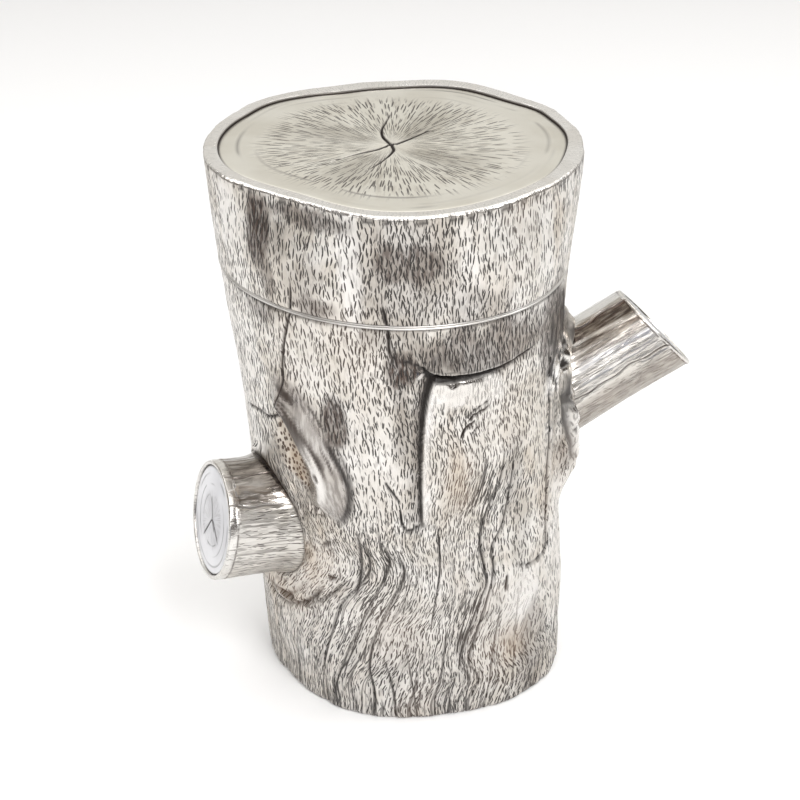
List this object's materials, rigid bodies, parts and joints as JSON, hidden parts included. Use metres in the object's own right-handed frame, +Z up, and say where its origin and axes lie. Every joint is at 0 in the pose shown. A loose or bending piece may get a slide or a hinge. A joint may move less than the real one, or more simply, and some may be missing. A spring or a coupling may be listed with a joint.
{
  "type": "lidded metal box",
  "caption": "Silver box shaped like a sawn tree trunk with lopped branch stubs, and a round lid that lifts straight off.",
  "frame": {"origin": "point on the flat underside straight below the centre of the lid's rim", "axes": "+Z up through the lid, -Y towards the front, +X towards the upper branch"},
  "size_m": [0.1046, 0.072, 0.12],
  "materials": {
    "chased_silver": "silver, chased all over with short bark strokes, dark oxide in the strokes",
    "plain_silver": "plain polished silver wire and sheet",
    "end_grain_silver": "silver, satin, engraved with growth rings and fine rays"
  },
  "bodies": {
    "box": {"trunk_wall": "chased_silver", "mouth_wire": "plain_silver", "friction_collar": "plain_silver", "base_plate": "plain_silver", "left_branch_wall": "chased_silver", "left_branch_end": "end_grain_silver", "right_branch_wall": "chased_silver", "right_branch_end": "end_grain_silver"},
    "lid": {"lid_wall": "chased_silver", "lid_wire": "plain_silver", "lid_end_grain": "end_grain_silver"}
  },
  "joints": [
    {"name": "lid_lift", "type": "slide", "parent": "box", "child": "lid", "axis": [0, 0, 1], "range_m": [0, 0.04]}
  ]
}
